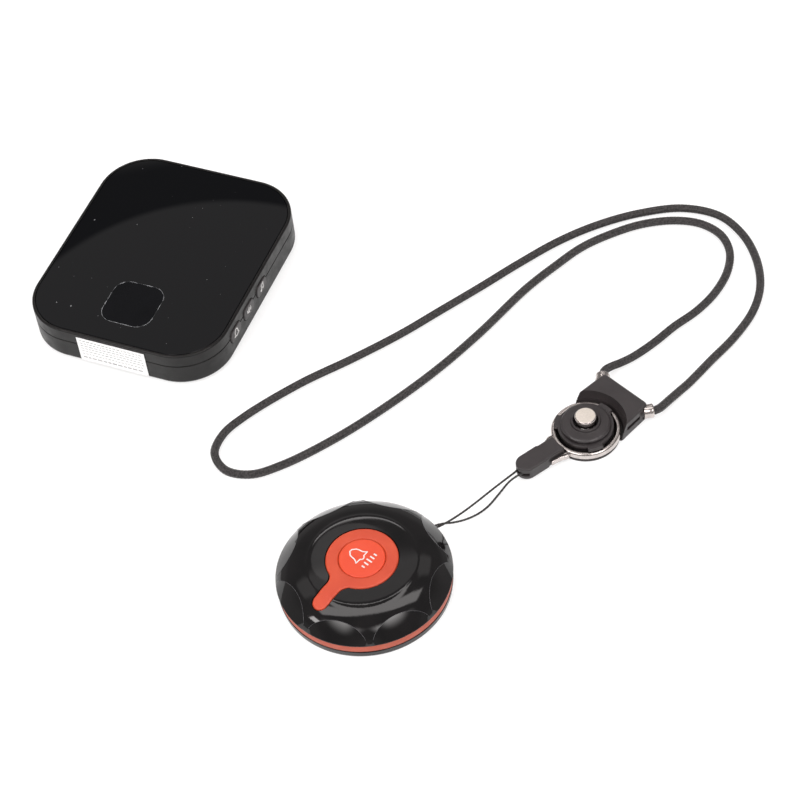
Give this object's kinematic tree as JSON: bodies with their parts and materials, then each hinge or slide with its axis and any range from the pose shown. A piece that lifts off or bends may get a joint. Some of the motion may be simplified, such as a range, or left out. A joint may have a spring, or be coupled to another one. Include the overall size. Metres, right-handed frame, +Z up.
{
  "type": "pager",
  "caption": "Caregiver pager set: round call button on a neck lanyard with a swivel release buckle, and a flat square receiver with side keys.",
  "frame": {"origin": "centre of the set's outline on the surface it lies on, measured without the cords", "axes": "+Z up, +Y to the back of the laid-out set, +X to the right"},
  "size_m": [0.2783, 0.2421, 0.016],
  "materials": {
    "gloss_black": "polished moulded shell, near black",
    "matt_black": "fine-textured moulded plastic, dark grey-black",
    "panel_black": "flat mirror-gloss acrylic panel",
    "window_black": "darker tinted window",
    "signal_orange": "soft satin orange-red plastic",
    "chrome": "polished plated metal",
    "steel": "plain steel",
    "braid": "black herringbone braided cord",
    "rubber": "black rubber",
    "board": "green circuit board",
    "switch_grey": "grey switch moulding",
    "copper": "bare copper-coloured metal",
    "label": "white self-adhesive label",
    "cell": "plain steel battery can",
    "pouch": "foil pouch",
    "diffuser": "milky plastic",
    "cone": "dark grey paper cone"
  },
  "bodies": {
    "lanyard": {"buckle_lower": "matt_black", "buckle_upper": "matt_black", "buckle_screw_left": "steel", "buckle_screw_right": "steel", "cord_ferrule_left": "chrome", "cord_ferrule_right": "chrome", "hub_body": "matt_black", "latch_lugs": "matt_black", "hub_cap": "matt_black", "release_spring": "steel", "neck_cord": "braid"},
    "release": {"release_button": "chrome"},
    "strap": {"swivel_ring": "chrome", "strap_tab": "matt_black", "strap_pin": "steel"},
    "call_button": {"call_top_shell": "gloss_black", "call_key_surround": "signal_orange", "call_accent_ring": "signal_orange", "call_bottom_shell": "gloss_black", "shell_screw_1": "steel", "shell_screw_2": "steel", "shell_screw_3": "steel", "battery_door": "matt_black", "coin_cell": "cell", "battery_contact": "steel", "call_board": "board", "switch_body": "switch_grey", "antenna_coil": "copper", "call_led": "diffuser", "seal_ring": "rubber", "strap_bar": "steel", "tether_cord": "braid"},
    "call_key": {"call_key": "signal_orange", "switch_plunger": "switch_grey"},
    "receiver": {"receiver_upper_case": "matt_black", "receiver_lower_case": "matt_black", "top_panel": "panel_black", "window_lens": "window_black", "light_diffuser": "diffuser", "key_switch_1": "switch_grey", "key_switch_2": "switch_grey", "key_switch_3": "switch_grey", "receiver_board": "board", "speaker_frame": "steel", "speaker_cone": "cone", "receiver_battery": "pouch", "vibration_motor": "steel", "antenna_spring": "copper", "rating_label": "label", "foot_1": "rubber", "foot_2": "rubber", "foot_3": "rubber", "foot_4": "rubber", "case_screw_1": "steel", "case_screw_2": "steel", "case_screw_3": "steel", "case_screw_4": "steel"},
    "melody_key": {"key_melody": "matt_black"},
    "volume_key": {"key_volume": "matt_black"},
    "alert_key": {"key_alert": "matt_black"}
  },
  "joints": [
    {"name": "release_press", "type": "slide", "parent": "lanyard", "child": "release", "axis": [0, 0, -1], "range_m": [0, 0.001], "stiffness_N_per_m": 1200, "springref_m": -0.0005, "deforming": ["release_spring"]},
    {"name": "strap_swivel", "type": "hinge", "parent": "lanyard", "child": "strap", "pos_m": [0.0873, -0.03655, 0.0027], "axis": [0, 0, 1], "range_deg": [-8, 100]},
    {"name": "button_swing", "type": "hinge", "parent": "strap", "child": "call_button", "pos_m": [0.06305, -0.05055, 0.0035], "axis": [0, 0, 1], "range_deg": [-6, 40]},
    {"name": "call_press", "type": "slide", "parent": "call_button", "child": "call_key", "axis": [0, 0, -1], "range_m": [0, 0.0008], "stiffness_N_per_m": 1500, "springref_m": -0.0005},
    {"name": "receiver_lift", "type": "slide", "parent": "lanyard", "child": "receiver", "axis": [0, 0, 1], "range_m": [0, 0.06]},
    {"name": "melody_press", "type": "slide", "parent": "receiver", "child": "melody_key", "axis": [-0.8862, 0.4633, 0], "range_m": [0, 0.0004], "stiffness_N_per_m": 1500, "springref_m": -0.0003},
    {"name": "volume_press", "type": "slide", "parent": "receiver", "child": "volume_key", "axis": [-0.8862, 0.4633, 0], "range_m": [0, 0.0004], "stiffness_N_per_m": 1500, "springref_m": -0.0003},
    {"name": "alert_press", "type": "slide", "parent": "receiver", "child": "alert_key", "axis": [-0.8862, 0.4633, 0], "range_m": [0, 0.0004], "stiffness_N_per_m": 1500, "springref_m": -0.0003}
  ]
}
